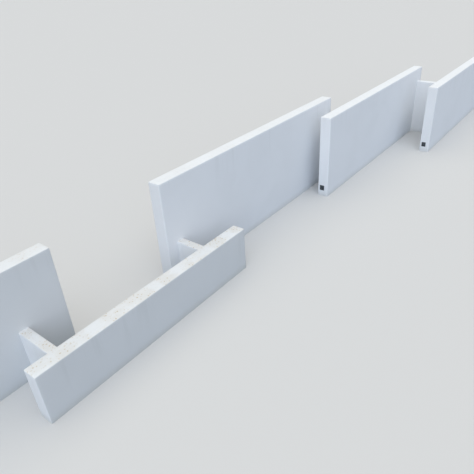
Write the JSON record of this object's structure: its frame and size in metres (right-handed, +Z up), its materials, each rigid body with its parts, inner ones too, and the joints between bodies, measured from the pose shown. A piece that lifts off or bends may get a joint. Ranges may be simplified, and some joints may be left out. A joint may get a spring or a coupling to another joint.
{
  "type": "staggered rendered garden wall with low planter",
  "caption": "Staggered row of smooth white rendered garden walls, each bay set forward and stepped down, with short link walls, a low planter and small recessed lights.",
  "frame": {"origin": "on the ground, in the middle of the row's plan", "axes": "+X along the bays from the taller near end to the lower far end, +Y back to the retained side, +Z up"},
  "size_m": [21.965, 2.09, 2.01],
  "materials": {
    "white_render": "smooth cement render, painted white, matt",
    "black_metal": "black powder coat, satin",
    "dark_glass": "dark tinted glass, smooth",
    "lamp_plastic": "frosted white plastic, satin"
  },
  "bodies": {
    "root": {"first_bay_wall": "white_render", "upper_bay_wall": "white_render", "lower_bay_wall": "white_render", "last_bay_wall": "white_render", "upper_link_wall": "white_render", "lower_link_wall": "white_render", "planter_front_wall": "white_render", "planter_left_return": "white_render", "planter_right_return": "white_render", "first_light_bezel": "black_metal", "first_light_glass": "dark_glass", "first_light_housing": "black_metal", "first_light_lamp": "lamp_plastic", "lower_light_bezel": "black_metal", "lower_light_glass": "dark_glass", "lower_light_housing": "black_metal", "lower_light_lamp": "lamp_plastic", "last_light_bezel": "black_metal", "last_light_glass": "dark_glass", "last_light_housing": "black_metal", "last_light_lamp": "lamp_plastic"}
  },
  "joints": []
}
